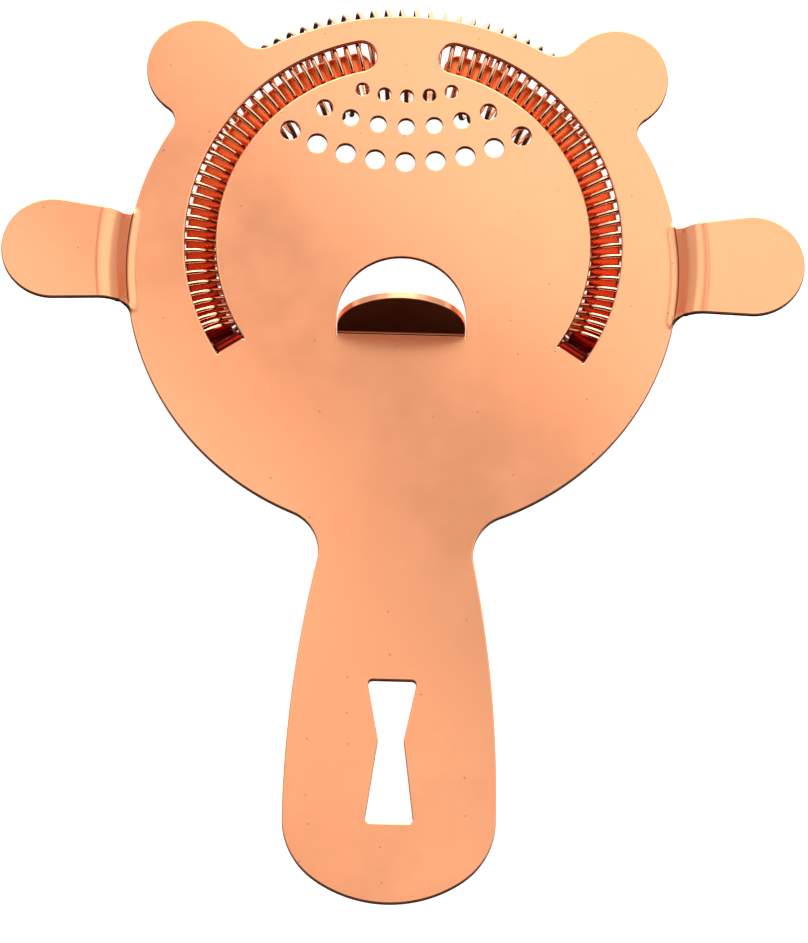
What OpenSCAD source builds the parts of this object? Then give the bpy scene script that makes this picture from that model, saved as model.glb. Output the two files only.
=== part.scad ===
// Cocktail strainer with a coil spring, to be laid over the mouth of a mixing tin.
// One stamped sheet carries the round plate, the handle, the two front lobes, the
// two raised side wings, the finger tab and the two tongues; one coil spring is
// threaded over the tongues.  All lengths in millimetres, all angles in degrees.
// The shape is worked out about the centre of the two curved slots, with the
// plate's top face at height 0, and then moved so that the origin is at the bottom
// centre of the whole strainer.

/* [Sheet] */
// thickness of the stamped sheet
sheet_t = 1.2; // [0.8:0.1:2]
// radius of the round plate
disc_r = 47; // [40:0.5:55]
// how far the plate's centre lies behind the centre of the slots
disc_back = 4.9; // [0:0.1:10]
// radius of the flatter front edge
front_r = 49; // [40:0.5:80]
// front edge, measured from the centre of the slots
front_y = 41.2; // [35:0.1:50]

/* [Front lobes] */
// radius of each round lobe
lobe_r = 8.9; // [5:0.1:12]
// sideways distance of a lobe's centre
lobe_x = 35.8; // [20:0.1:45]
// forward distance of a lobe's centre
lobe_y = 30.7; // [20:0.1:40]
// radius where a lobe runs into the front edge
lobe_front_fillet = 4.3; // [1:0.1:6]
// radius where a lobe runs into the plate's side
lobe_side_fillet = 2.6; // [1:0.1:6]

/* [Side wings] */
// radius of a wing's round end
wing_r = 8.8; // [5:0.1:12]
// sideways distance of the round end's centre
wing_x = 59.5; // [50:0.1:70]
// backward distance of the round end's centre
wing_back = 3.75; // [0:0.05:10]
// slope of a wing's front edge, outwards and forwards
wing_front_slope = 8.4; // [0:0.1:15]
// slope of a wing's rear edge, outwards and backwards
wing_rear_slope = 2; // [0:0.1:15]
// how far the wings stand above the plate
wing_rise = 4; // [0:0.1:8]
// slope of the step up to a wing
wing_step_angle = 50; // [20:1:70]
// mid-sheet radius of the bend at the foot of the step
wing_foot_r = 1; // [0.8:0.1:3]
// mid-sheet radius of the bend at the head of the step
wing_head_r = 4.5; // [0.8:0.1:6]
// radius where a wing runs into the plate
wing_fillet = 1.8; // [0.5:0.1:5]

/* [Handle] */
// half the handle's widest width
handle_half_w = 17.9; // [12:0.1:25]
// radius of the handle's long curved sides
handle_side_r = 212; // [120:1:400]
// backward distance of the widest place
handle_wide_back = 101; // [80:1:120]
// back end of the handle
handle_end_back = 116.2; // [100:0.1:130]
// radius of the end's middle stretch
handle_end_r = 21.5; // [18:0.5:40]
// radius of the end's two corners
handle_corner_r = 13; // [5:0.5:17]
// radius where the handle runs into the plate
neck_fillet = 7.2; // [3:0.1:15]

/* [Hanging slot] */
// front end of the waisted slot in the handle
key_front_back = 77.5; // [70:0.1:90]
// back end of the waisted slot
key_rear_back = 102.4; // [90:0.1:110]
// half width at the front end
key_front_half = 4.2; // [2:0.1:6]
// half width at the waist
key_waist_half = 2.15; // [1:0.05:4]
// backward distance of the waist
key_waist_back = 87.9; // [80:0.1:95]
// half width at the back end
key_rear_half = 4.1; // [2:0.1:6]

/* [Finger tab] */
// radius of the half-round opening and of the tab punched out of it
tab_r = 11; // [8:0.1:15]
// backward distance of the opening's centre
tab_back = 13.4; // [8:0.1:20]
// backward distance of the line where the tab starts to bend
tab_fold_back = 16.6; // [12:0.1:22]
// angle that the tab is bent up
tab_angle = 81; // [45:1:90]
// mid-sheet bend radius
tab_bend_r = 1; // [0.8:0.1:3]
// gap between the tab and the opening's sides
tab_gap = 0.1; // [0.05:0.05:0.5]

/* [Curved slots and tongues] */
// inner radius of the slots
slot_ri = 32; // [25:0.05:40]
// outer radius of the slots
slot_ro = 37.25; // [30:0.05:45]
// angle from the front to a slot's round end
slot_front_angle = 9; // [5:0.5:20]
// angle from the side to a slot's square rear end
slot_rear_angle = 33.5; // [20:0.5:45]
// gap between a tongue's edges and the slot's edges
tongue_gap = 0.15; // [0.05:0.05:0.5]
// height that a tongue drops below the plate
tongue_drop = 4.6; // [3:0.1:8]
// slope of the tongue where it leaves the plate
tongue_slope = 60; // [30:1:80]
// mid-sheet bend radius of the tongue
tongue_bend_r = 1.6; // [0.8:0.1:3]
// angle from the front to a tongue's round tip
tongue_tip_angle = 10.5; // [10:0.5:30]

/* [Drain holes] */
// radius of the arcs the three rows lie on, front row first
row_r = [28.4, 33.9, 40.3];
// radius of the holes in each row
hole_r = [1.17, 1.45, 1.72];
// angle between neighbours in each row
hole_step = [7.8, 8.15, 7.35];
// number of holes in each row
hole_count = [5, 7, 9];
// forward distance of the centre the rows curve round
row_centre_y = 55; // [50:0.5:60]

/* [Coil spring] */
// wire diameter
wire_d = 0.85; // [0.6:0.05:1.2]
// outside diameter of a turn
coil_d = 17.8; // [12:0.1:20]
// radius of the ring that the coil is bent into
ring_r = 37.15; // [30:0.05:42]
// gap between the turns and the underside of the plate
coil_gap = 0.12; // [0.05:0.01:0.5]
// turns on each side of the middle of the front
half_turns = 39; // [20:1:50]
// angle from turn to turn
pitch_front = 3.17; // [2:0.01:5]
// how much closer together the turns would be at the end of the closing stretch
pitch_tighten = 1.9; // [0:0.05:2]
// angle from the front where the turns start to close up
tighten_from = 99; // [30:1:110]
// angle of the closing stretch
tighten_over = 21; // [10:1:70]

/* [Hidden] */
$fn = 96;
// fillets bite this far into the outlines they join, so that no two only touch
lap = 0.02;
// the level stretch of a bent strip is thicker by this much on each face than the
// bend that runs into it, so that their faces don't coincide
skin = 0.01;
copper = [0.93, 0.62, 0.46];
disc_c = [0, -disc_back];
front_c = [0, front_y - front_r];
lobe_c = [lobe_x, lobe_y];
slot_mid = (slot_ri + slot_ro) / 2;
slot_w = slot_ro - slot_ri;
turn_r = (coil_d - wire_d) / 2;
coil_z = -sheet_t - coil_gap - coil_d / 2;
spring_front = ring_r + coil_d / 2;
base_shift = [0, (handle_end_back - spring_front) / 2, -coil_z + coil_d / 2];

// One of the two points where circles of radii ra and rb about a and b cross.
function crossing(a, ra, b, rb, side) =
    let (d = norm(b - a), u = (b - a) / d, k = (d * d + ra * ra - rb * rb) / (2 * d),
         h = sqrt(ra * ra - k * k))
    a + k * u + side * h * [-u[1], u[0]];

// The point at distance r from a, towards b.
function towards(a, b, r) = a + r * (b - a) / norm(b - a);

function polar(r, a) = [r * cos(a), r * sin(a)];

// Points of the arc that rounds the corner q between p and n to radius r.
function corner(p, q, n, r, steps = 6) =
    let (u = (p - q) / norm(p - q), v = (n - q) / norm(n - q),
         half = acos(u * v) / 2, c = q + (u + v) / norm(u + v) * r / sin(half),
         s = q + u * r / tan(half), e = q + v * r / tan(half),
         a = atan2(s[1] - c[1], s[0] - c[0]),
         turn = atan2((s - c)[0] * (e - c)[1] - (s - c)[1] * (e - c)[0], (s - c) * (e - c)))
    [for (i = [0:steps]) c + polar(r, a + turn * i / steps)];

// A polygon from [x, y, corner radius] entries.
module rounded(pts) {
    n = len(pts);
    xy = [for (p = pts) [p[0], p[1]]];
    polygon([for (i = [0:n - 1])
        each corner(xy[(i + n - 1) % n], xy[i], xy[(i + 1) % n], pts[i][2])]);
}

// Fills the corner between round outlines of radii ra and rb about a and b with a
// fillet of radius r.
module web(a, ra, b, rb, r, side) {
    f = crossing(a, ra + r - lap, b, rb + r - lap, side);
    difference() {
        polygon([a, f, b]);
        translate(f) circle(r);
    }
}

module wedge(a0, a1, r) {
    polygon([[0, 0], polar(r, a0), polar(r * 1.4, (a0 + a1) / 2), polar(r, a1)]);
}

// Part of the bent sheet seen edge on, about its bend centre.
module bend_2d(r, a0, a1) {
    intersection() {
        difference() {
            circle(r + sheet_t / 2);
            circle(r - sheet_t / 2);
        }
        wedge(a0, a1, 3 * r + sheet_t);
    }
}

// The sheet edge on: level, bent up by angle to radius r1, straight, and bent back
// to level to radius r2.  It starts level with its middle at the origin and rises by
// the height asked for.
function step_run(r1, r2, angle, rise) =
    (r1 + r2) * sin(angle) + (rise - (r1 + r2) * (1 - cos(angle))) / tan(angle);
function arc(c, r, a0, a1, steps = 8) = [for (i = [0:steps]) c + polar(r, a0 + (a1 - a0) * i / steps)];
module step_2d(r1, r2, angle, rise, lead_in, lead_out) {
    h = sheet_t / 2;
    run = step_run(r1, r2, angle, rise);
    c1 = [0, r1];
    c2 = [run, rise - r2];
    polygon(concat(
        [[-lead_in, -h]], arc(c1, r1 + h, -90, angle - 90), arc(c2, r2 - h, 90 + angle, 90),
        [[run + lead_out, rise - h], [run + lead_out, rise + h]],
        arc(c2, r2 + h, 90, 90 + angle), arc(c1, r1 - h, angle - 90, -90), [[-lead_in, h]]));
}

module both_sides() {
    children();
    mirror([1, 0]) children();
}

module disc_2d() {
    intersection() {
        translate(disc_c) circle(disc_r, $fn = 192);
        translate(front_c) circle(front_r, $fn = 192);
    }
}

module lobe_2d() {
    translate(lobe_c) circle(lobe_r);
    web(front_c, front_r, lobe_c, lobe_r, lobe_front_fillet, 1);
    web(disc_c, disc_r, lobe_c, lobe_r, lobe_side_fillet, -1);
}

module handle_2d() {
    side_c = [handle_half_w - handle_side_r, -handle_wide_back];
    end_c = [0, handle_end_r - handle_end_back];
    corner_dx = handle_half_w - handle_corner_r;
    corner_c = end_c + [corner_dx, -sqrt(pow(handle_end_r - handle_corner_r, 2) - pow(corner_dx, 2))];
    low = corner_c[1];
    intersection() {
        translate(side_c) circle(handle_side_r, $fn = 360);
        translate([-side_c[0], side_c[1]]) circle(handle_side_r, $fn = 360);
        translate([-handle_half_w - 1, low]) square([2 * handle_half_w + 2, -disc_r + 6 - low]);
    }
    both_sides() translate(corner_c) circle(handle_corner_r + lap);
    intersection() {
        translate(end_c) circle(handle_end_r);
        polygon([end_c, towards(end_c, corner_c, 40), [0, -200],
                 towards(end_c, [-corner_c[0], low], 40)]);
    }
    f = crossing(side_c, handle_side_r + neck_fillet - lap, disc_c, disc_r + neck_fillet - lap, -1);
    both_sides() difference() {
        polygon([[-1, -disc_r], towards(disc_c, f, disc_r - 1), f, towards(side_c, f, handle_side_r - 1),
                 [-1, f[1] - 8]]);
        translate(f) circle(neck_fillet);
    }
}

module key_slot_2d() {
    rounded([[-key_front_half, -key_front_back, 0.8], [key_front_half, -key_front_back, 0.8],
             [key_waist_half, -key_waist_back, 1.5], [key_rear_half, -key_rear_back, 0.8],
             [-key_rear_half, -key_rear_back, 0.8], [-key_waist_half, -key_waist_back, 1.5]]);
}

// The half-round outline of the finger tab: y0 is its straight end, and grow
// widens it all round.
module tab_2d(y0, grow) {
    translate([-tab_r - grow, y0]) square([2 * (tab_r + grow), -tab_back - y0]);
    intersection() {
        translate([0, -tab_back]) circle(tab_r + grow);
        translate([-2 * tab_r, y0]) square([4 * tab_r, 3 * tab_r]);
    }
}

// A curved slot on the right-hand side, with a round front end; in narrows it.
module slot_2d(a0, a1, in) {
    w = slot_w - 2 * in;
    end_a = a1 - asin(w / 2 / slot_mid);
    intersection() {
        difference() {
            circle(slot_ro - in, $fn = 192);
            circle(slot_ri + in, $fn = 192);
        }
        wedge(a0, end_a, 2 * slot_ro);
    }
    translate(polar(slot_mid, end_a)) circle(w / 2);
}

module drain_holes_2d() {
    for (row = [0:2], i = [0:hole_count[row] - 1]) {
        a = -90 + (i - (hole_count[row] - 1) / 2) * hole_step[row];
        translate([0, row_centre_y] + polar(row_r[row], a)) circle(hole_r[row], $fn = 48);
    }
}

module flat_sheet() {
    translate([0, 0, -sheet_t]) linear_extrude(sheet_t) difference() {
        union() {
            disc_2d();
            both_sides() lobe_2d();
            handle_2d();
        }
        both_sides() slot_2d(-slot_rear_angle, 90 - slot_front_angle, 0);
        tab_2d(-tab_fold_back, 0);
        key_slot_2d();
        drain_holes_2d();
    }
}

// Fills the corner between the plate and a wing's straight edge, which runs from
// the point t outwards along the unit vector d with its outer side towards n.
module wing_web(t, d, n) {
    o = t + (wing_fillet - lap) * n - disc_c;
    s = -(o * d) + sqrt(pow(o * d, 2) - o * o + pow(disc_r + wing_fillet - lap, 2));
    f = disc_c + o + s * d;
    difference() {
        polygon([f, towards(disc_c, f, disc_r - 4), f - (wing_fillet + 4) * n]);
        translate(f) circle(wing_fillet);
    }
}

module wing_2d() {
    c = [wing_x, -wing_back];
    nf = [-sin(wing_front_slope), cos(wing_front_slope)];
    nr = [-sin(wing_rear_slope), -cos(wing_rear_slope)];
    df = [cos(wing_front_slope), sin(wing_front_slope)];
    dr = [cos(wing_rear_slope), -sin(wing_rear_slope)];
    tf = c + wing_r * nf;
    tr = c + wing_r * nr;
    long = wing_x - disc_r + 6;
    translate(c) circle(wing_r);
    polygon([tf, tf - long * df, tr - long * dr, tr, c + [0.1, 0]]);
    wing_web(tf, df, nf);
    wing_web(tr, dr, nr);
}

module wing() {
    intersection() {
        translate(disc_c) rotate_extrude($fn = 192) translate([disc_r, -sheet_t / 2])
            step_2d(wing_foot_r, wing_head_r, wing_step_angle, wing_rise, 3, 30);
        translate([0, 0, -5]) linear_extrude(20) wing_2d();
    }
}

// Draws a shape given edge on, x forwards and y up, as wide as asked for.
module edge_on(width) {
    rotate([90, 0, 90]) translate([0, 0, -width / 2]) linear_extrude(width) children();
}

module finger_tab() {
    arc_len = tab_bend_r * tab_angle * PI / 180;
    w = 2 * (tab_r - tab_gap);
    translate([0, -tab_fold_back, -sheet_t / 2]) {
        edge_on(w - 2 * skin) {
            translate([-0.6, -sheet_t / 2]) square([0.6, sheet_t]);
            translate([0, tab_bend_r]) bend_2d(tab_bend_r, -90, tab_angle - 90);
        }
        translate([0, tab_bend_r * sin(tab_angle), tab_bend_r * (1 - cos(tab_angle))])
            rotate([tab_angle, 0, 0]) translate([0, tab_fold_back - arc_len, -sheet_t / 2 - skin])
                linear_extrude(sheet_t + 2 * skin) tab_2d(arc_len - tab_fold_back - 0.1, -tab_gap);
    }
}

// The right-hand tongue: it steps down from the slot's square end and then runs
// level along the slot, inside the turns of the spring.
module tongue() {
    run = step_run(tongue_bend_r, tongue_bend_r, tongue_slope, tongue_drop);
    half_turned = asin(run / 2 / slot_mid);
    intersection() {
        rotate(-slot_rear_angle + half_turned) translate([slot_mid, -run / 2, -sheet_t / 2])
            edge_on(3 * slot_w) mirror([0, 1])
                step_2d(tongue_bend_r, tongue_bend_r, tongue_slope, tongue_drop, 1, 1);
        translate([0, 0, -20]) linear_extrude(30) difference() {
            circle(slot_ro - tongue_gap, $fn = 192);
            circle(slot_ri + tongue_gap, $fn = 192);
        }
    }
    translate([0, 0, -sheet_t - tongue_drop - skin]) linear_extrude(sheet_t + 2 * skin)
        slot_2d(-slot_rear_angle + 2 * half_turned + 0.5, 90 - tongue_tip_angle, tongue_gap - skin);
}

module strainer_plate() {
    color(copper) translate(base_shift) {
        flat_sheet();
        both_sides() wing();
        finger_tab();
        both_sides() tongue();
    }
}

// Angle of the n-th outermost point of the wire, counted from the front's middle,
// which lies half-way between two of them.
function pitch_at(a) = pitch_front - pitch_tighten * min(max((a - tighten_from) / tighten_over, 0), 1);
function turn_angle(n) = n == 0 ? pitch_front / 2 : let (a = turn_angle(n - 1)) a + pitch_at(a);

// Half a turn of wire standing between two points of the ring; up is 1 over the
// top and -1 underneath.  Its ends stop just short, inside the balls that join it
// to its neighbours.
module half_turn(p, q, up) {
    translate([(p[0] + q[0]) / 2, (p[1] + q[1]) / 2, coil_z])
        rotate([0, 0, atan2(p[1] - q[1], p[0] - q[0])]) rotate([90 * up, 0, 0])
            rotate([0, 0, 0.3]) rotate_extrude(angle = 179.4)
                translate([norm(p - q) / 2, 0]) circle(wire_d / 2, $fn = 24);
}

module joint_ball(p) {
    translate([p[0], p[1], coil_z]) sphere(wire_d / 2 + 0.015, $fn = 24);
}

module coil_spring() {
    side = [for (n = [0:half_turns - 1]) turn_angle(n)];
    at = concat([for (n = [half_turns - 1:-1:0]) 90 + side[n]], [for (a = side) 90 - a]);
    color(copper) translate(base_shift) for (i = [0:len(at) - 2]) {
        outer = polar(ring_r + turn_r, at[i]);
        inner = polar(ring_r - turn_r, (at[i] + at[i + 1]) / 2);
        next = polar(ring_r + turn_r, at[i + 1]);
        half_turn(outer, inner, 1);
        half_turn(inner, next, -1);
        joint_ball(inner);
        if (i < len(at) - 2) joint_ball(next);
    }
}

strainer_plate();
coil_spring();
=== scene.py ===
"""Looks of the coil-spring cocktail strainer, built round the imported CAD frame.

The stamped sheet is rebuilt as one closed mesh with rounded rims: every rim is traced flat,
the faces between the rims are triangulated, and one function bends each flat point into its
place on the wings, the finger tab or the tongues.  The spring is one continuous wire.
Lengths are in millimetres until they reach Blender, which works in metres.
"""

import math

import bpy
import numpy as np
from mathutils import Matrix, Vector
from mathutils.geometry import delaunay_2d_cdt


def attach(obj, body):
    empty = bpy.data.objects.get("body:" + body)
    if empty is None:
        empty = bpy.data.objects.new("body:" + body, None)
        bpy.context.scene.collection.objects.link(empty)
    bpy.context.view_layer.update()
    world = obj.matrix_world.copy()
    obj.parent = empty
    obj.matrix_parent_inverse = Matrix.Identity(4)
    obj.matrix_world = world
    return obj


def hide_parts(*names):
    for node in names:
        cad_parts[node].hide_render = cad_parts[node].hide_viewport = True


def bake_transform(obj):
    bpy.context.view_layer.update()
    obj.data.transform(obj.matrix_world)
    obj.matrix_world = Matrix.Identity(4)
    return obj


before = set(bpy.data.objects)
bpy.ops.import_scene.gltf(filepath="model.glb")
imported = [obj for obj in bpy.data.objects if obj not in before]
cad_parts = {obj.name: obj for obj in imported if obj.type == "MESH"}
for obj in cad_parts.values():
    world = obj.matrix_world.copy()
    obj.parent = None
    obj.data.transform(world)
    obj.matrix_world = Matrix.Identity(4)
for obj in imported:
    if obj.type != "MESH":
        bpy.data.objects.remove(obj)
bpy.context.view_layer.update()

MM = 0.001
# the slots' centre at the plate's top face, in the row frame
ORIGIN = np.array([0.0, 35.075, 19.12])
ORIGIN_Y = float(ORIGIN[1])

# ---- sizes of the sheet, about the slots' centre with the plate's top at height 0
SHEET_T = 1.2
EDGE_R, SLOT_EDGE_R, CUT_EDGE_R = 0.22, 0.34, 0.13  # rounding of the sheet's edges
STEP, STEP_TURN = 0.42, 12.0  # longest step along a rim, and its most degrees on an arc
RIM_CLEARANCE = 0.22  # points inside the sheet keep this far from its rims
TONGUE_INSET, TAB_INSET = 0.9, 0.8  # and the rows of points on the bent strips this far
DISC_C, DISC_R = np.array([0.0, -4.9]), 47.0
FRONT_C, FRONT_R = np.array([0.0, -7.8]), 49.0
LOBE_C, LOBE_R, LOBE_FRONT_FILLET, LOBE_SIDE_FILLET = np.array([35.8, 30.7]), 8.9, 4.3, 2.6
WING_C, WING_R, WING_FILLET = np.array([59.5, -3.75]), 8.8, 1.8
WING_FRONT_SLOPE, WING_REAR_SLOPE = 8.4, 2.0
WING_STEP_IN = 1.7  # the step up to a wing starts this far inside the plate's edge
WING_STEP = dict(foot_r=3.2, head_r=4.5, angle=48.0, rise=4.0)
WING_REACH = 16.0  # the sheet bends only this near to a wing's middle line
WING_HALF, WING_FADE = 7.2, 2.8  # half length of the step beside the wing's foot, and its fade
WING_FREE, WING_FREE_FADE = -0.1, 2.0  # from here on outwards the whole wing follows the step
WING_ROWS_Y = (-15.5, 6.5)  # extent of the rows of points across the step
CREASE_DEPTH, CREASE_W = 0.07, 0.13  # along the plate's edge, across the wing's foot
CREASE_HALF, CREASE_FADE = 6.6, 1.2
HANDLE_HALF_W, HANDLE_SIDE_R, HANDLE_WIDE_Y = 17.9, 212.0, -101.0
HANDLE_END_Y, HANDLE_END_R, HANDLE_CORNER_R, NECK_FILLET = -116.2, 21.5, 13.0, 7.2
KEY_SLOT = [  # x, y and corner radius
    (-4.2, -77.5, 0.8), (4.2, -77.5, 0.8), (2.15, -87.9, 1.5),
    (4.1, -102.4, 0.8), (-4.1, -102.4, 0.8), (-2.15, -87.9, 1.5),
]
TAB_C, TAB_R, TAB_FOLD_Y = np.array([0.0, -13.4]), 11.0, -16.6
TAB_BEND_R, TAB_ANGLE = 1.0, 81.0
TAB_GAP, TONGUE_GAP = 0.1, 0.15  # between a bent-out strip and the opening round it
SLOT_RI, SLOT_RO, SLOT_FRONT, SLOT_REAR = 32.0, 37.25, 81.0, -33.5
TONGUE_FRONT = 79.5
TONGUE_STEP = dict(foot_r=1.6, head_r=1.6, angle=60.0, rise=4.6)
HOLE_ROW_Y = 55.0  # the rows of holes bend about a centre beyond the front edge
HOLE_ROWS = [  # radius of the row, radius of a hole, degrees between holes, count
    (28.4, 1.17, 7.8, 5), (33.9, 1.45, 8.15, 7), (40.3, 1.72, 7.35, 9),
]

RING_MID = (SLOT_RI + SLOT_RO) / 2

# ---- painted shade on the sheet, inside the slots and along the wings' steps; each range says where its mask is full and where it has faded out
RECESS_HEIGHT, RECESS_OFF = (-0.9, -0.12), (2.80, 3.05)  # from the top, from the slot's middle
BENT_DOWN_OFF, BENT_DOWN_Y = (2.40, 2.60), (-14.0, -10.0)  # where a tongue starts to bend down
SLOT_WALL_HEIGHT, SLOT_WALL_OFF = (-0.30, -0.04), (2.66, 2.56)
SLOT_SIDE_X = (5.4, 4.8)  # keeps the painted shade off the sheet between the two slots
SLOT_REAR_LINE = (0.05, -0.15)  # and off the plate behind their square rear ends
WING_FOOT_Y = -3.975  # where a wing's middle line crosses its step
WING_LINE_OFF, WING_LINE_HEIGHT = (7.6, 8.8), (-0.6, -0.9)
# painted shade and painted red reflections between the copper surfaces: darker, redder colour on the
# tongues and in the slots, nearly black where the tongues bend down at their rear
RECESS_SHADE_TINTS = [  # y of each tint, from the slots' rear to their front
    (-21.0, (0.06, 0.006, 0.004, 1.0)), (-17.5, (0.10, 0.008, 0.005, 1.0)),
    (-15.5, (0.36, 0.016, 0.008, 1.0)), (0.0, (0.62, 0.10, 0.045, 1.0)),
    (25.0, (0.82, 0.36, 0.18, 1.0)), (37.0, (0.88, 0.43, 0.23, 1.0)),
]
# painted shade on the slots' outer walls
SLOT_WALL_SHADE = (0.40, 0.12, 0.08, 1.0)
PIT_SHARE = 0.28  # of the cells in the pattern of pits
HAIRLINES = ((0.5, (150, 4200, 900)), (-0.85, (170, 3600, 900)))  # turn and noise scale of each
# painted shade: a dark line in the crease at each wing's foot and a fainter one near the top of its step
WING_SHADE_LINES = [  # radius about the disc's centre, half widths of the line and its fade, tint
    (47.0, 0.04, 0.17, (0.20, 0.12, 0.10, 1.0)),
    (52.1, 0.02, 0.30, (0.90, 0.78, 0.72, 1.0)),
]

# ---- sizes of the spring
WIRE_R = 0.425
RING_R, TURN_R, COIL_Z = 37.15, 8.475, -10.22
HALF_TURNS = 39
PITCH, CLOSING, CLOSING_FROM, CLOSING_OVER = 3.17, 1.9, 99.0, 21.0

# ---- studio, in metres
FLOOR_GLOW, FLOOR_HALF = 0.92, 3.0
CURTAIN_R, CURTAIN_SIDES = 0.97 * FLOOR_HALF, 48
PANEL_TURN, PANEL_Z = -41.0, 0.30  # the overhead panels' edges cross the plate on the slant
UNLIT_ELEVATION = math.radians(44)
UNLIT_DIRECTION = (0.0, -math.cos(UNLIT_ELEVATION), math.sin(UNLIT_ELEVATION))
# brightness of the room, as places on a ramp and greys
UNLIT_FALL = [(0.0, 1.0), (0.50, 1.0), (0.70, 0.01), (1.0, 0.002)]  # towards UNLIT_DIRECTION
HEIGHT_FALL = [(0.0, 0.65), (0.40, 0.80), (0.72, 0.70), (1.0, 0.65)]  # from horizon to zenith
SKYLINE = [(0.27, 0.75), (0.37, 0.0)]  # a lit band low down, also in the unlit end
LOW_FRONT = [(0.20, 0.025), (0.55, 1.7)]  # below the horizon, towards the front
HORIZON = (-0.03, 0.03)  # heights over which the part below takes over


# ---------------------------------------------------------------- flat rims of the sheet


def polar(r, deg):
    a = math.radians(deg)
    return np.array([r * math.cos(a), r * math.sin(a)])


def heading(v):
    """Angle of a flat vector, in degrees."""
    return math.degrees(math.atan2(v[1], v[0]))


def crossing(a, ra, b, rb, side):
    """One of the two points where circles about a and b cross."""
    d = np.linalg.norm(b - a)
    u = (b - a) / d
    k = (d * d + ra * ra - rb * rb) / (2 * d)
    return a + k * u + side * math.sqrt(ra * ra - k * k) * np.array([-u[1], u[0]])


class Rim:
    """A closed edge of the sheet, drawn with the metal on its left: points and inward normals."""

    def __init__(self, edge_r):
        self.points, self.normals, self.edge_r = [], [], edge_r

    def arc(self, c, r, a0, a1, turn):
        """Along a circle from angle a0 to a1, anticlockwise for turn 1 and clockwise for -1."""
        span = (turn * (a1 - a0)) % 360.0
        n = max(math.ceil(math.radians(span) * r / STEP), math.ceil(span / STEP_TURN), 1)
        for i in range(n):
            u = polar(1.0, a0 + turn * span * i / n)
            self.points.append(c + r * u)
            self.normals.append(-turn * u)

    def line(self, p, q):
        length = np.linalg.norm(q - p)
        d = (q - p) / length
        n = max(math.ceil(length / STEP), 1)
        for i in range(n):
            self.points.append(p + (q - p) * i / n)
            self.normals.append(np.array([-d[1], d[0]]))

    def mirrored_on(self):
        """Adds the left-hand mirror image of a right-hand half drawn from back to front."""
        flip = np.array([-1.0, 1.0])
        self.points += [p * flip for p in self.points[:0:-1]]
        self.normals += [n * flip for n in self.normals[:0:-1]]

    def mirror(self):
        flip = np.array([-1.0, 1.0])
        other = Rim(self.edge_r)
        other.points = [p * flip for p in self.points[::-1]]
        other.normals = [n * flip for n in self.normals[::-1]]
        return other


def outline():
    """The outer edge: the right-hand half from the handle's end to the front, then mirrored."""
    rim = Rim(EDGE_R)
    side_c = np.array([HANDLE_HALF_W - HANDLE_SIDE_R, HANDLE_WIDE_Y])
    end_c = np.array([0.0, HANDLE_END_Y + HANDLE_END_R])
    dx = HANDLE_HALF_W - HANDLE_CORNER_R
    drop = math.sqrt((HANDLE_END_R - HANDLE_CORNER_R) ** 2 - dx * dx)
    corner_c = end_c + np.array([dx, -drop])
    neck = crossing(side_c, HANDLE_SIDE_R + NECK_FILLET, DISC_C, DISC_R + NECK_FILLET, -1)
    rim.arc(end_c, HANDLE_END_R, -90, heading(corner_c - end_c), 1)
    rim.arc(corner_c, HANDLE_CORNER_R, heading(corner_c - end_c), heading(corner_c - side_c), 1)
    rim.arc(side_c, HANDLE_SIDE_R, heading(corner_c - side_c), heading(neck - side_c), 1)
    rim.arc(neck, NECK_FILLET, heading(side_c - neck), heading(DISC_C - neck), -1)

    n_rear, n_front = polar(1.0, -WING_REAR_SLOPE - 90), polar(1.0, 90 + WING_FRONT_SLOPE)
    d_rear, d_front = polar(1.0, -WING_REAR_SLOPE), polar(1.0, WING_FRONT_SLOPE)
    f_rear = wing_fillet_centre(WING_C + WING_R * n_rear, d_rear, n_rear)
    f_front = wing_fillet_centre(WING_C + WING_R * n_front, d_front, n_front)
    rim.arc(DISC_C, DISC_R, heading(neck - DISC_C), heading(f_rear - DISC_C), 1)
    rim.arc(f_rear, WING_FILLET, heading(DISC_C - f_rear), heading(-n_rear), -1)
    rim.line(f_rear - WING_FILLET * n_rear, WING_C + WING_R * n_rear)
    rim.arc(WING_C, WING_R, heading(n_rear), heading(n_front), 1)
    rim.line(WING_C + WING_R * n_front, f_front - WING_FILLET * n_front)
    rim.arc(f_front, WING_FILLET, heading(-n_front), heading(DISC_C - f_front), -1)

    r_side, r_front = LOBE_SIDE_FILLET, LOBE_FRONT_FILLET
    w_side = crossing(DISC_C, DISC_R + r_side, LOBE_C, LOBE_R + r_side, -1)
    w_front = crossing(FRONT_C, FRONT_R + r_front, LOBE_C, LOBE_R + r_front, 1)
    rim.arc(DISC_C, DISC_R, heading(f_front - DISC_C), heading(w_side - DISC_C), 1)
    rim.arc(w_side, r_side, heading(DISC_C - w_side), heading(LOBE_C - w_side), -1)
    rim.arc(LOBE_C, LOBE_R, heading(w_side - LOBE_C), heading(w_front - LOBE_C), 1)
    rim.arc(w_front, r_front, heading(LOBE_C - w_front), heading(FRONT_C - w_front), -1)
    rim.arc(FRONT_C, FRONT_R, heading(w_front - FRONT_C), 90, 1)
    rim.points.append(FRONT_C + [0, FRONT_R])
    rim.normals.append(np.array([0.0, -1.0]))
    front = len(rim.points)
    rim.mirrored_on()
    del rim.points[front], rim.normals[front]
    return rim


def wing_fillet_centre(t, d, n):
    """Centre of the fillet between the plate and the wing edge through t along d."""
    o = t + WING_FILLET * n - DISC_C
    along = -(o @ d) + math.sqrt((o @ d) ** 2 - o @ o + (DISC_R + WING_FILLET) ** 2)
    return DISC_C + o + along * d


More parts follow.
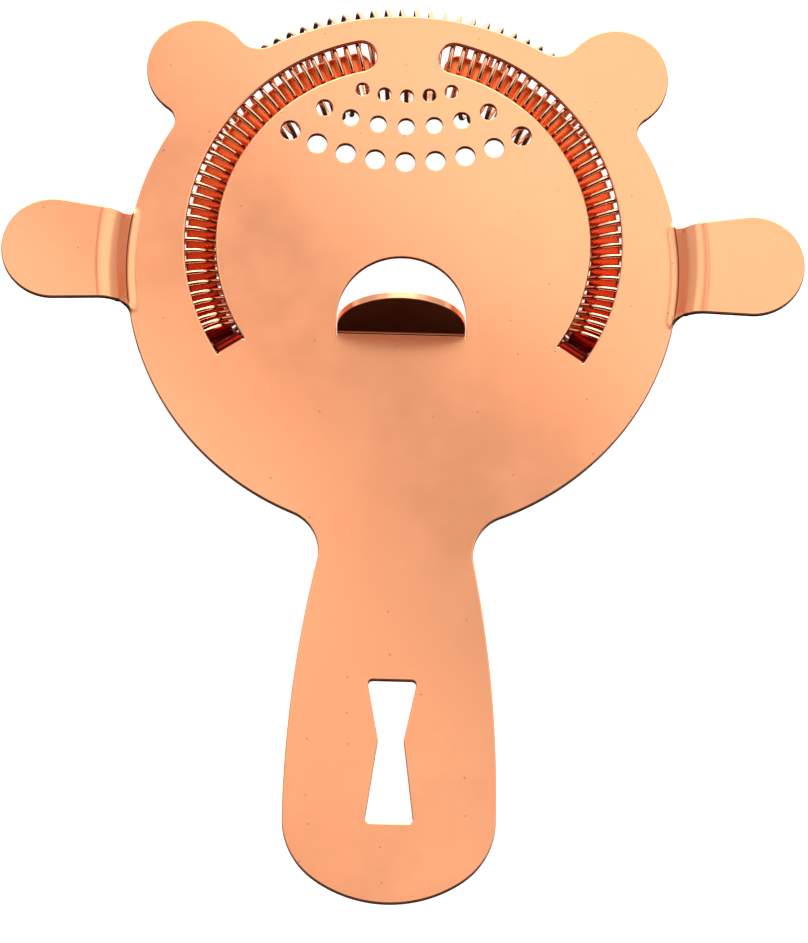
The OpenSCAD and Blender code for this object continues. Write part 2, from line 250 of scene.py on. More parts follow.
def slot_and_tongue():
    """The right-hand curved opening; the tongue reaches into it from its rear end."""
    rim, zero, gap = Rim(SLOT_EDGE_R), np.zeros(2), TONGUE_GAP
    mid, w_slot = RING_MID, (SLOT_RO - SLOT_RI) / 2
    w_tongue = w_slot - gap
    end_slot = SLOT_FRONT - math.degrees(math.asin(w_slot / mid))
    end_tongue = TONGUE_FRONT - math.degrees(math.asin(w_tongue / mid))
    rim.arc(zero, SLOT_RO, end_slot, SLOT_REAR, -1)
    rim.arc(polar(SLOT_RO - gap / 2, SLOT_REAR), gap / 2, SLOT_REAR, SLOT_REAR - 180, -1)
    rim.arc(zero, SLOT_RO - gap, SLOT_REAR, end_tongue, 1)
    rim.arc(polar(mid, end_tongue), w_tongue, end_tongue, end_tongue + 180, 1)
    rim.arc(zero, SLOT_RI + gap, end_tongue, SLOT_REAR, -1)
    rim.arc(polar(SLOT_RI + gap / 2, SLOT_REAR), gap / 2, SLOT_REAR, SLOT_REAR - 180, -1)
    rim.arc(zero, SLOT_RI, SLOT_REAR, end_slot, 1)
    rim.arc(polar(mid, end_slot), w_slot, end_slot + 180, end_slot, -1)
    return rim


def opening_and_tab():
    """The half-round opening and the tab that was cut from it, still flat."""
    rim, in_r = Rim(CUT_EDGE_R), TAB_R - TAB_GAP
    right, notch = np.array([1.0, 0.0]), np.array([TAB_R - TAB_GAP / 2, 0.0])
    fold = np.array([0.0, TAB_FOLD_Y])
    rim.arc(TAB_C, TAB_R, 180, 0, -1)
    rim.line(TAB_C + TAB_R * right, fold + TAB_R * right)
    rim.arc(fold + notch, TAB_GAP / 2, 0, -180, -1)
    rim.line(fold + in_r * right, TAB_C + in_r * right)
    rim.arc(TAB_C, in_r, 0, 180, 1)
    rim.line(TAB_C - in_r * right, fold - in_r * right)
    rim.arc(fold - notch, TAB_GAP / 2, 0, -180, -1)
    rim.line(fold - TAB_R * right, TAB_C - TAB_R * right)
    return rim


def rounded_hole(corners):
    """A hole with straight sides, drawn clockwise; corners are x, y and radius."""
    xy = [np.array(c[:2]) for c in corners]
    rounds = []
    for i, (_, _, r) in enumerate(corners):
        p, q, n = xy[i - 1], xy[i], xy[(i + 1) % len(xy)]
        u, v = (p - q) / np.linalg.norm(p - q), (n - q) / np.linalg.norm(n - q)
        half = math.acos(u @ v) / 2
        c = q + (u + v) / np.linalg.norm(u + v) * r / math.sin(half)
        s, e = q + u * r / math.tan(half), q + v * r / math.tan(half)
        turn = 1 if (-u)[0] * v[1] - (-u)[1] * v[0] > 0 else -1
        rounds.append((c, r, s, e, turn))
    rim = Rim(EDGE_R)
    for i, (c, r, s, e, turn) in enumerate(rounds):
        rim.arc(c, r, heading(s - c), heading(e - c), turn)
        rim.line(e, rounds[(i + 1) % len(rounds)][2])
    return rim


def drain_holes():
    rims = []
    for row_r, hole_r, step, count in HOLE_ROWS:
        for i in range(count):
            rim = Rim(CUT_EDGE_R)
            c = np.array([0, HOLE_ROW_Y]) + polar(row_r, -90 + (i - (count - 1) / 2) * step)
            rim.arc(c, hole_r, 0, -359.999, -1)
            rims.append(rim)
    return rims


# ---------------------------------------------------------------- bending the flat sheet


def step_run(foot_r, head_r, angle, rise):
    """Level length of a step from its foot's bend to its head's."""
    a = math.radians(angle)
    both = foot_r + head_r
    return both * math.sin(a) + (rise - both * (1 - math.cos(a))) / math.tan(a)


def step_height(x, foot_r, head_r, angle, rise):
    """Height and slope of a strip's middle that steps up by rise, x along the level."""
    a, run = math.radians(angle), step_run(foot_r, head_r, angle, rise)
    foot, head = foot_r * math.sin(a), run - head_r * math.sin(a)
    up = np.arcsin(np.clip(x / foot_r, 0, math.sin(a)))
    level = np.arcsin(np.clip((run - x) / head_r, 0, math.sin(a)))
    ramp = foot_r * (1 - math.cos(a)) + (x - foot) * math.tan(a)
    z = np.where(x < foot, foot_r * (1 - np.cos(up)),
                 np.where(x < head, ramp, rise - head_r * (1 - np.cos(level))))
    return z, np.where(x < head, up, level)


def step_stations(foot_r, head_r, angle, rise, n=7):
    """Places along the level where a stepped strip needs a row of points."""
    a, run = math.radians(angle), step_run(foot_r, head_r, angle, rise)
    foot, head = foot_r * math.sin(a), run - head_r * math.sin(a)
    return ([foot_r * math.sin(a * i / n) for i in range(n)] + list(np.linspace(foot, head, 4))
            + [run - head_r * math.sin(a * i / n) for i in range(n - 1, -1, -1)])


def smooth(x):
    x = np.clip(x, 0, 1)
    return x * x * (3 - 2 * x)


def off_axis(flat):
    """How far flat points lie from the middle line of the wing on their side."""
    tilt = math.tan(math.radians((WING_FRONT_SLOPE - WING_REAR_SLOPE) / 2))
    return np.abs(flat[:, 1] - WING_C[1] - (np.abs(flat[:, 0]) - WING_C[0]) * tilt)


def wing_height(flat):
    """Height of the sheet's middle near a wing; beside the wing's foot it dies out."""
    r, off = np.linalg.norm(flat - DISC_C, axis=1), off_axis(flat)
    z, _ = step_height(r - DISC_R + WING_STEP_IN, **WING_STEP)
    beside = 1 - smooth((off - WING_HALF) / WING_FADE)
    near = np.maximum(beside, smooth((r - DISC_R - WING_FREE) / WING_FREE_FADE))
    return np.where(off < WING_REACH, z * near, 0.0)


def on_wing(flat):
    """Which flat points lie on a wing or on the step up to it."""
    r = np.linalg.norm(flat - DISC_C, axis=1)
    return (r > DISC_R - WING_STEP_IN) & (off_axis(flat) < WING_REACH)


def bend_wings(flat, p, along, slope):
    """Raises the wings, and tilts the sheet as steeply as their height changes."""
    wing, d = on_wing(flat), 0.01
    grad = np.column_stack([wing_height(flat + [d, 0]) - wing_height(flat - [d, 0]),
                            wing_height(flat + [0, d]) - wing_height(flat - [0, d])]) / (2 * d)
    steep = np.linalg.norm(grad, axis=1)
    tilted = wing & (steep > 1e-6)
    p[wing, 2] += wing_height(flat)[wing]
    slope[tilted] = np.arctan(steep[tilted])
    along[tilted, :2] = grad[tilted] / steep[tilted, None]


def bend_tongues(flat, p, along, slope):
    """Steps the tongues down; their tips are round, so they end by distance from a centre."""
    r, theta = np.linalg.norm(flat, axis=1), np.degrees(np.arctan2(flat[:, 1], np.abs(flat[:, 0])))
    half_w = (SLOT_RO - SLOT_RI - TONGUE_GAP) / 2
    tip = TONGUE_FRONT - math.degrees(math.asin((half_w - TONGUE_GAP / 2) / RING_MID))
    tongue = (np.abs(r - RING_MID) < half_w) & (theta > SLOT_REAR) & (theta <= tip)
    right_hand = np.column_stack([np.abs(flat[:, 0]), flat[:, 1]])
    tongue |= (theta > tip) & (np.linalg.norm(right_hand - polar(RING_MID, tip), axis=1) < half_w)
    z, a = step_height(np.radians(theta - SLOT_REAR) * RING_MID, **TONGUE_STEP)
    p[tongue, 2] -= z[tongue]
    slope[tongue] = -a[tongue]
    side = np.sign(flat[:, 0])
    tangent = np.column_stack([-flat[:, 1] * side, flat[:, 0] * side]) / np.maximum(r, 1e-9)[:, None]
    along[tongue, :2] = tangent[tongue]


def bend_tab(flat, p, slope):
    """Folds the finger tab up about its straight edge."""
    in_r = TAB_R - TAB_GAP / 2
    tab = (np.abs(flat[:, 0]) < in_r) & (flat[:, 1] > TAB_FOLD_Y)
    tab &= (flat[:, 1] < TAB_C[1]) | (np.linalg.norm(flat - TAB_C, axis=1) < in_r)
    s, full = flat[:, 1] - TAB_FOLD_Y, math.radians(TAB_ANGLE)
    a = np.clip(s / TAB_BEND_R, 0, full)
    rest = np.maximum(s - TAB_BEND_R * full, 0)
    p[tab, 1] = (TAB_FOLD_Y + TAB_BEND_R * np.sin(a) + rest * math.cos(full))[tab]
    p[tab, 2] += (TAB_BEND_R * (1 - np.cos(a)) + rest * math.sin(full))[tab]
    slope[tab] = a[tab]


def crease_wings(flat, depth, p, n):
    """Presses a fine crease into the top face where a wing leaves the round plate."""
    out = flat - DISC_C
    r = np.linalg.norm(out, axis=1) - DISC_R
    crease = CREASE_DEPTH * np.exp(-(r / CREASE_W) ** 2)
    crease *= 1 - smooth((off_axis(flat) - CREASE_HALF) / CREASE_FADE)
    crease[(depth > 1e-9) | ~on_wing(flat)] = 0
    p[:, 2] -= crease
    n -= (2 * r / CREASE_W**2 * crease)[:, None] * np.column_stack(
        [out / np.linalg.norm(out, axis=1)[:, None], np.zeros(len(p))])


def bend(flat, depth, normal):
    """Flat points, their depth below the top face and their normals, to 3-D."""
    p = np.column_stack([flat, np.full(len(flat), -SHEET_T / 2)])
    up = np.tile([0.0, 0.0, 1.0], (len(p), 1))
    along, slope = np.tile([0.0, 1.0, 0.0], (len(p), 1)), np.zeros(len(p))
    bend_wings(flat, p, along, slope)
    bend_tongues(flat, p, along, slope)
    bend_tab(flat, p, slope)

    across = np.cross(up, along)
    c, s = np.cos(slope)[:, None], np.sin(slope)[:, None]
    top, fwd = up * c - along * s, along * c + up * s
    n = (fwd * np.sum(normal * along, 1)[:, None] + across * np.sum(normal * across, 1)[:, None]
         + top * normal[:, 2:])
    p = p + top * (SHEET_T / 2 - depth)[:, None]
    crease_wings(flat, depth, p, n)
    return p, n / np.linalg.norm(n, axis=1)[:, None]


def bend_points():
    """Flat points inside the strips that bend, so that their faces can follow."""
    pts = []
    stations = [x - WING_STEP_IN for x in step_stations(**WING_STEP)]
    stations += [CREASE_W * k for k in (-2.2, -1.4, -0.9, -0.45, 0, 0.45, 0.9, 1.4, 2.2)]
    for r in sorted(DISC_R + x for x in stations):
        for y in np.linspace(*WING_ROWS_Y, 34):
            pts.append([math.sqrt(r * r - (y - DISC_C[1]) ** 2), y])
    for x in step_stations(**TONGUE_STEP):
        a = SLOT_REAR + math.degrees(x / RING_MID)
        pts += [polar(r, a) for r in np.linspace(SLOT_RI + TONGUE_INSET, SLOT_RO - TONGUE_INSET, 6)]
    pts += [[-x, y] for x, y in pts]
    for k in range(10):
        y = TAB_FOLD_Y + TAB_BEND_R * math.radians(TAB_ANGLE) * k / 9
        pts += [[x, y] for x in np.linspace(-TAB_R + TAB_INSET, TAB_R - TAB_INSET, 19)]
    return np.array(pts)


def clear_of_rims(points, loops):
    """Those of the points that lie on the metal, and not right beside an edge."""
    points = points[inside(points, loops)]
    edge = np.vstack(loops)
    near = [np.min(np.sum((edge - p) ** 2, axis=1)) for p in points]
    return points[np.array(near) > RIM_CLEARANCE**2]


def inside(points, loops):
    """True for each point that lies on the metal, by counting the edges it crosses."""
    a = np.vstack(loops)
    b = np.vstack([np.roll(l, -1, axis=0) for l in loops])
    dy = np.where(b[:, 1] == a[:, 1], 1e-12, b[:, 1] - a[:, 1])
    result = np.zeros(len(points), bool)
    for i, (x, y) in enumerate(points):
        cut = (a[:, 1] > y) != (b[:, 1] > y)
        result[i] = np.count_nonzero(x < (a + (b - a) * ((y - a[:, 1]) / dy)[:, None])[cut, 0]) % 2
    return result


def triangulate(loops, extra):
    """Triangles of the metal between the loops, as indexes into loops' points then extra."""
    points = np.vstack(loops + [extra])
    edges, base = [], 0
    for l in loops:
        edges += [(base + i, base + (i + 1) % len(l)) for i in range(len(l))]
        base += len(l)
    made = delaunay_2d_cdt([Vector(p) for p in points], edges, [], 0, 1e-6)
    verts, faces, origin = made[0], made[2], made[3]
    index = np.array([o[0] if o else -1 for o in origin])
    xy = np.array([v[:] for v in verts])
    tri = np.array([f for f in faces])
    keep = inside(xy[tri].mean(axis=1), loops)
    tri = index[tri[keep]]
    if (tri < 0).any() or len(np.unique(tri)) != len(points):
        raise RuntimeError(f"the sheet's rims touch: {len(np.unique(tri))} of {len(points)} points used")
    return tri


# ---------------------------------------------------------------- meshes


def make_object(name, verts, faces, normals, material):
    mesh = bpy.data.meshes.new(name)
    mesh.from_pydata((verts + ORIGIN) * MM, [], faces)
    mesh.polygons.foreach_set("use_smooth", [True] * len(mesh.polygons))
    mesh.materials.append(material)
    if normals is not None:
        mesh.normals_split_custom_set_from_vertices(normals.tolist())
    mesh.update()
    obj = bpy.data.objects.new(name, mesh)
    bpy.context.scene.collection.objects.link(obj)
    return obj


def make_sheet(material):
    right = slot_and_tongue()
    rims = [outline(), right, right.mirror(), opening_and_tab(), rounded_hole(KEY_SLOT)]
    rims += drain_holes()
    quarter = [math.pi / 2 * i / 5 for i in range(6)]
    n_prof = 2 * len(quarter)

    flat, depth, normal, loops, base = [], [], [], [], 0
    faces = []
    for rim in rims:
        p, n = np.array(rim.points), np.array(rim.normals)
        loops.append(p + rim.edge_r * n)
        top = [(rim.edge_r * (1 - math.cos(a)), a) for a in quarter]
        for d, a in top + [(SHEET_T - d, math.pi - a) for d, a in top[::-1]]:
            flat.append(p + rim.edge_r * (1 - math.sin(a)) * n)
            depth.append(np.full(len(p), d))
            normal.append(np.column_stack([-n * math.sin(a), np.full(len(p), math.cos(a))]))
        count = len(p)
        for k in range(n_prof - 1):
            top, low = base + k * count, base + (k + 1) * count
            faces += [(top + i, low + i, low + (i + 1) % count, top + (i + 1) % count)
                      for i in range(count)]
        base += n_prof * count

    extra = clear_of_rims(bend_points(), loops)
    for d, z in ((0.0, 1.0), (SHEET_T, -1.0)):
        flat.append(extra)
        depth.append(np.full(len(extra), d))
        normal.append(np.tile([0.0, 0.0, z], (len(extra), 1)))

    top_index, low_index, at = [], [], 0
    for l in loops:
        top_index += list(range(at, at + len(l)))
        at += n_prof * len(l)
        low_index += list(range(at - len(l), at))
    top_index += list(range(base, base + len(extra)))
    low_index += list(range(base + len(extra), base + 2 * len(extra)))
    top_index, low_index = np.array(top_index), np.array(low_index)
    tri = triangulate(loops, extra)
    faces += [tuple(t) for t in top_index[tri].tolist()]
    faces += [tuple(t[::-1]) for t in low_index[tri].tolist()]
    verts, normals = bend(np.vstack(flat), np.concatenate(depth), np.vstack(normal))
    sheet = make_object("sheet_body", verts, faces, normals, material)
    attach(sheet, "sheet")
    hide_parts("strainer_plate")
    return sheet


def turn_angles():
    """Angles of the wire's outermost points on one side, from the front's middle."""
    side = [PITCH / 2]
    while len(side) < HALF_TURNS:
        side.append(side[-1] + PITCH - CLOSING * min(max((side[-1] - CLOSING_FROM) / CLOSING_OVER, 0), 1))
    return side


def make_spring(material):
    side = turn_angles()
    at = [90 + s for s in side[::-1]] + [90 - s for s in side]
    per_turn, around = 60, 14
    turn = np.arange((len(at) - 1) * per_turn + 1) / per_turn
    ring = np.radians(np.interp(turn, np.arange(len(at)), at))
    phi = 2 * math.pi * turn
    out = RING_R + TURN_R * np.cos(phi)
    path = np.column_stack([out * np.cos(ring), out * np.sin(ring), COIL_Z + TURN_R * np.sin(phi)])
    tangent = np.gradient(path, axis=0)
    tangent /= np.linalg.norm(tangent, axis=1)[:, None]
    centre = np.column_stack([RING_R * np.cos(ring), RING_R * np.sin(ring), np.full(len(ring), COIL_Z)])
    n1 = path - centre
    n1 -= tangent * np.sum(n1 * tangent, 1)[:, None]
    n1 /= np.linalg.norm(n1, axis=1)[:, None]
    n2 = np.cross(tangent, n1)

    # each end is rounded off by rings that shrink towards the tip
    rings = [(i, 0.0, 1.0) for i in range(len(path))]
    cap = [math.radians(a) for a in (70, 50, 30, 12)]
    first = [(0, -WIRE_R * math.cos(a), math.sin(a)) for a in cap[::-1]]
    last = [(len(path) - 1, WIRE_R * math.cos(a), math.sin(a)) for a in cap]
    rings = first + rings + last
    verts = []
    for i, shift, scale in rings:
        for k in range(around):
            a = 2 * math.pi * k / around
            offset = (n1[i] * math.cos(a) + n2[i] * math.sin(a)) * WIRE_R * scale
            verts.append(path[i] + tangent[i] * shift + offset)
    faces = []
    for j in range(len(rings) - 1):
        for k in range(around):
            a, b = j * around + k, j * around + (k + 1) % around
            faces.append((a, b, b + around, a + around))
    faces.append(tuple(range(around))[::-1])
    faces.append(tuple(range((len(rings) - 1) * around, len(rings) * around)))
    spring = make_object("spring_wire", np.array(verts), faces, None, material)
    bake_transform(spring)
    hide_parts("coil_spring")
    return spring


# ---------------------------------------------------------------- materials


def node(tree, kind, inputs=None, **settings):
    n = tree.nodes.new(kind)
    for key, value in settings.items():
        setattr(n, key, value)
    for key, value in (inputs or {}).items():
        n.inputs[key].default_value = value
    return n


def ramp(tree, stops):
    n = tree.nodes.new("ShaderNodeValToRGB")
    n.color_ramp.elements[0].position, n.color_ramp.elements[0].color = stops[0]
    n.color_ramp.elements[1].position, n.color_ramp.elements[1].color = stops[-1]
    for position, colour in stops[1:-1]:
        n.color_ramp.elements.new(position).color = colour
    return n


def grey(v):
    return (v, v, v, 1.0)


def math_node(tree, operation, a, b=None):
    """A Math node on two values, each a socket or a plain number; its output socket."""
    n = node(tree, "ShaderNodeMath", operation=operation)
    for i, v in enumerate((a, b)):
        if isinstance(v, (int, float)):
            n.inputs[i].default_value = v
        elif v is not None:
            tree.links.new(v, n.inputs[i])
    return n.outputs["Value"]


def fade(tree, value, full, none):
    """1 where the value is at or past full, 0 at or past none, smooth between."""
    n = node(tree, "ShaderNodeMapRange", {"From Min": none, "From Max": full},
             interpolation_type="SMOOTHSTEP")
    tree.links.new(value, n.inputs["Value"])
    return n.outputs["Result"]


def fade_mm(tree, value, limits, origin=0.0):
    """fade() of a length in metres, with its limits in millimetres from an origin."""
    full, none = limits
    return fade(tree, value, (origin + full) * MM, (origin + none) * MM)


def radius_about(tree, x, y, centre):
    """Distance in metres from a vertical axis through a centre given in the sheet's own frame."""
    dx = math_node(tree, "SUBTRACT", x, float(centre[0] + ORIGIN[0]) * MM)
    dy = math_node(tree, "SUBTRACT", y, float(centre[1] + ORIGIN[1]) * MM)
    square = math_node(tree, "ADD", math_node(tree, "MULTIPLY", dx, dx),
                       math_node(tree, "MULTIPLY", dy, dy))
    return math_node(tree, "SQRT", square)


def tint_by(tree, colour, mask, strong):
    """Multiplies a colour by strong, a socket or a plain colour, where the mask is 1."""
    mix = node(tree, "ShaderNodeMix", data_type="RGBA", blend_type="MULTIPLY")
    if isinstance(strong, tuple):
        mix.inputs["B"].default_value = strong
    else:
        tree.links.new(strong, mix.inputs["B"])
    tree.links.new(mask, mix.inputs["Factor"])
    tree.links.new(colour, mix.inputs["A"])
    return mix.outputs["Result"]


def painted_slot_and_wing_shade(tree, place, colour):
    """Painted shade: a deeper, darker red inside the curved openings, and darker lines at the steps of
    the wings.
    """
    split = node(tree, "ShaderNodeSeparateXYZ")
    tree.links.new(place.outputs["Object"], split.inputs["Vector"])
    x, y, z = (split.outputs[k] for k in "XYZ")
    top, slant = float(ORIGIN[2]), math.radians(SLOT_REAR)

    r = radius_about(tree, x, y, (0, 0))
    off = math_node(tree, "ABSOLUTE", math_node(tree, "SUBTRACT", r, RING_MID * MM))
    side = math_node(tree, "ABSOLUTE", x)
    forward = math_node(tree, "SUBTRACT", y, ORIGIN_Y * MM)
    rear_line = math_node(tree, "ADD", math_node(tree, "MULTIPLY", side, -math.sin(slant)),
                          math_node(tree, "MULTIPLY", forward, math.cos(slant)))
    bent_down = math_node(tree, "MULTIPLY", fade_mm(tree, off, BENT_DOWN_OFF),
                          fade_mm(tree, y, BENT_DOWN_Y, ORIGIN_Y))
    recess_shade = math_node(tree, "MAXIMUM", fade_mm(tree, z, RECESS_HEIGHT, top), bent_down)
    wall_shade = math_node(tree, "MULTIPLY", fade_mm(tree, z, SLOT_WALL_HEIGHT, top),
                     fade_mm(tree, off, SLOT_WALL_OFF))
    for mask in (fade_mm(tree, off, RECESS_OFF), fade_mm(tree, side, SLOT_SIDE_X),
                 fade_mm(tree, rear_line, SLOT_REAR_LINE)):
        recess_shade = math_node(tree, "MULTIPLY", recess_shade, mask)
        wall_shade = math_node(tree, "MULTIPLY", wall_shade, mask)
    # painted shade on the slots' walls
    colour = tint_by(tree, colour, wall_shade, SLOT_WALL_SHADE)
    # painted shade and painted reflections inside the slots, darker towards their rear
    rear, front = RECESS_SHADE_TINTS[0][0], RECESS_SHADE_TINTS[-1][0]
    recess_shade_ramp = ramp(tree, [((place_y - rear) / (front - rear), c) for place_y, c in RECESS_SHADE_TINTS])
    lengthwise = node(tree, "ShaderNodeMapRange", {"From Min": (ORIGIN_Y + rear) * MM,
                                                   "From Max": (ORIGIN_Y + front) * MM})
    tree.links.new(y, lengthwise.inputs["Value"])
    tree.links.new(lengthwise.outputs["Result"], recess_shade_ramp.inputs["Fac"])
    colour = tint_by(tree, colour, recess_shade, recess_shade_ramp.outputs["Color"])

    r = radius_about(tree, x, y, DISC_C)
    foot_y = (ORIGIN_Y + WING_FOOT_Y) * MM
    beside = math_node(tree, "ABSOLUTE", math_node(tree, "SUBTRACT", y, foot_y))
    wing = math_node(tree, "MULTIPLY", fade_mm(tree, beside, WING_LINE_OFF),
                     fade_mm(tree, z, WING_LINE_HEIGHT, top))
    # painted shade along the wings' steps
    for radius, full, none, strong in WING_SHADE_LINES:
        off = math_node(tree, "ABSOLUTE", math_node(tree, "SUBTRACT", r, radius * MM))
        line = math_node(tree, "MULTIPLY", fade_mm(tree, off, (full, none)), wing)
        colour = tint_by(tree, colour, line, strong)
    return colour


def copper(name, light, deep, roughness, speck, speck_scale, scratch, wave, paint_shade=None):
    """Polished copper plating: cloudy tone, fine specks, hairline scratches and a slow wave."""
    material = bpy.data.materials.new(name)
    material.use_nodes = True
    tree = material.node_tree
    link = tree.links.new
    shader = tree.nodes["Principled BSDF"]
    shader.inputs["Metallic"].default_value = 1.0
    place = node(tree, "ShaderNodeTexCoord")

    cloud = node(tree, "ShaderNodeTexNoise", {"Scale": 22.0, "Detail": 3.0, "Roughness": 0.5})
    tone = ramp(tree, [(0.35, deep), (0.65, light)])
    # some of the cells of a flat pattern hold a pit at their middle
    cells = node(tree, "ShaderNodeTexVoronoi", {"Scale": speck_scale}, voronoi_dimensions="2D")
    pick = node(tree, "ShaderNodeSeparateColor")
    rare = node(tree, "ShaderNodeMath", {1: 1 - PIT_SHARE}, operation="GREATER_THAN")
    pit = node(tree, "ShaderNodeMapRange", {"From Min": 0.010, "From Max": 0.028,
                                            "To Min": 1.0, "To Max": 0.0})
    rare_pit = node(tree, "ShaderNodeMath", operation="MULTIPLY")
    specks = ramp(tree, [(0.0, grey(1.0)), (1.0, grey(1 - speck))])
    mix = node(tree, "ShaderNodeMix", {"Factor": 1.0}, data_type="RGBA", blend_type="MULTIPLY")
    link(place.outputs["Object"], cloud.inputs["Vector"])
    link(place.outputs["Object"], cells.inputs["Vector"])
    link(cells.outputs["Color"], pick.inputs["Color"])
    link(pick.outputs["Red"], rare.inputs[0])
    link(cells.outputs["Distance"], pit.inputs["Value"])
    link(rare.outputs["Value"], rare_pit.inputs[0])
    link(pit.outputs["Result"], rare_pit.inputs[1])
    link(cloud.outputs["Fac"], tone.inputs["Fac"])
    link(rare_pit.outputs["Value"], specks.inputs["Fac"])
    link(tone.outputs["Color"], mix.inputs["A"])
    link(specks.outputs["Color"], mix.inputs["B"])
    colour = mix.outputs["Result"]
    # where given, painted shade darkens the base colour
    if paint_shade:
        colour = paint_shade(tree, place, colour)
    link(colour, shader.inputs["Base Color"])

    smear = node(tree, "ShaderNodeTexNoise", {"Scale": 90.0, "Detail": 4.0, "Roughness": 0.65})
    gloss = node(tree, "ShaderNodeMapRange",
                 {"From Min": 0.3, "From Max": 0.7, "To Min": roughness * 0.85,
                  "To Max": roughness * 1.2})
    link(place.outputs["Object"], smear.inputs["Vector"])
    link(smear.outputs["Fac"], gloss.inputs["Value"])
    link(gloss.outputs["Result"], shader.inputs["Roughness"])

    # hairlines: noise drawn out along one direction, laid twice at a slant
    hairs = None
    for turn, scale in HAIRLINES:
        stretch = node(tree, "ShaderNodeMapping", {"Rotation": (0, 0, turn), "Scale": scale})
        line = node(tree, "ShaderNodeTexNoise", {"Scale": 1.0, "Detail": 1.0})
        thin = ramp(tree, [(0.30, grey(0.0)), (0.36, grey(1.0))])
        link(place.outputs["Object"], stretch.inputs["Vector"])
        link(stretch.outputs["Vector"], line.inputs["Vector"])
        link(line.outputs["Fac"], thin.inputs["Fac"])
        if hairs is None:
            hairs = thin.outputs["Color"]
        else:
            both = node(tree, "ShaderNodeMath", operation="MINIMUM")
            link(hairs, both.inputs[0])
            link(thin.outputs["Color"], both.inputs[1])
            hairs = both.outputs["Value"]
    slow = node(tree, "ShaderNodeTexNoise", {"Scale": 14.0, "Detail": 0.0})
    bump_slow = node(tree, "ShaderNodeBump", {"Strength": 1.0, "Distance": wave})
    bump_hair = node(tree, "ShaderNodeBump", {"Strength": 1.0, "Distance": scratch})
    link(place.outputs["Object"], slow.inputs["Vector"])
    link(slow.outputs["Fac"], bump_slow.inputs["Height"])
    link(hairs, bump_hair.inputs["Height"])
    link(bump_slow.outputs["Normal"], bump_hair.inputs["Normal"])
    link(bump_hair.outputs["Normal"], shader.inputs["Normal"])
    return material


def floor_material():
    """The plain white of the table and the curtain, which glow like a photographer's."""
    material = bpy.data.materials.new("pale_floor")
    material.use_nodes = True
    tree = material.node_tree
    shader = tree.nodes["Principled BSDF"]
    shader.inputs["Roughness"].default_value = 0.8
    shader.inputs["Specular IOR Level"].default_value = 0.2
    shader.inputs["Emission Color"].default_value = (1.0, 1.0, 1.0, 1.0)
    shader.inputs["Emission Strength"].default_value = FLOOR_GLOW
    place = node(tree, "ShaderNodeTexCoord")
    grain = node(tree, "ShaderNodeTexNoise", {"Scale": 40.0, "Detail": 3.0})
    tint = ramp(tree, [(0.3, grey(0.58)), (0.7, grey(0.61))])
    tree.links.new(place.outputs["Object"], grain.inputs["Vector"])
    tree.links.new(grain.outputs["Fac"], tint.inputs["Fac"])
    tree.links.new(tint.outputs["Color"], shader.inputs["Base Color"])
    return material


# ---------------------------------------------------------------- stage, lights and camera


def stage_piece(name, verts, faces, material):
    """Something round the strainer, which its metal doesn't mirror."""
    mesh = bpy.data.meshes.new(name)
    mesh.from_pydata(verts, [], faces)
    mesh.materials.append(material)
    obj = bpy.data.objects.new(name, mesh)
    bpy.context.scene.collection.objects.link(obj)
    obj.visible_glossy = False
    return obj


def make_floor():
    """The white table, and round it a white curtain that only the camera sees."""
    half, sides, material = FLOOR_HALF, CURTAIN_SIDES, floor_material()
    corners = [(-half, -half, 0.0), (half, -half, 0.0), (half, half, 0.0), (-half, half, 0.0)]
    stage_piece("floor", corners, [(0, 1, 2, 3)], material)
    ring = [polar(CURTAIN_R, 360.0 * i / sides) for i in range(sides)]
    verts = [(x, y, z) for z in (0.0, half) for x, y in ring]
    faces = [(i, (i + 1) % sides, sides + (i + 1) % sides, sides + i) for i in range(sides)]
    curtain = stage_piece("curtain", verts, faces, material)
    curtain.visible_diffuse = curtain.visible_shadow = False


def grey_ramp(tree, stops, value):
    """A ramp of greys driven by a socket; its output socket."""
    n = ramp(tree, [(place, grey(v)) for place, v in stops])
    tree.links.new(value, n.inputs["Fac"])
    return n.outputs["Color"]


def mixed(tree, a, b, **settings):
    """Two colours mixed fully by a blend type; the output socket."""
    n = node(tree, "ShaderNodeMix", {"Factor": 1.0}, data_type="RGBA", **settings)
    tree.links.new(a, n.inputs["A"])
    tree.links.new(b, n.inputs["B"])
    return n.outputs["Result"]


def make_world():
    """A bright studio that is unlit beyond the handle; below the horizon only its front is lit."""
    world = bpy.data.worlds.new("studio")
    world.use_nodes = True
    tree = world.node_tree
    direction = node(tree, "ShaderNodeTexCoord").outputs["Generated"]
    toward = node(tree, "ShaderNodeVectorMath", operation="DOT_PRODUCT")
    toward.inputs[1].default_value = UNLIT_DIRECTION
    tree.links.new(direction, toward.inputs[0])
    split = node(tree, "ShaderNodeSeparateXYZ")
    tree.links.new(direction, split.inputs["Vector"])
    z = split.outputs["Z"]

    unlit = grey_ramp(tree, UNLIT_FALL, toward.outputs["Value"])
    lit = mixed(tree, unlit, grey_ramp(tree, SKYLINE, z), blend_type="LIGHTEN")
    above = mixed(tree, lit, grey_ramp(tree, HEIGHT_FALL, z), blend_type="MULTIPLY")
    whole = node(tree, "ShaderNodeMix", data_type="RGBA")
    tree.links.new(fade(tree, z, *HORIZON), whole.inputs["Factor"])
    tree.links.new(above, whole.inputs["A"])
    tree.links.new(grey_ramp(tree, LOW_FRONT, split.outputs["Y"]), whole.inputs["B"])
    tree.links.new(whole.outputs["Result"], tree.nodes["Background"].inputs["Color"])
    bpy.context.scene.world = world


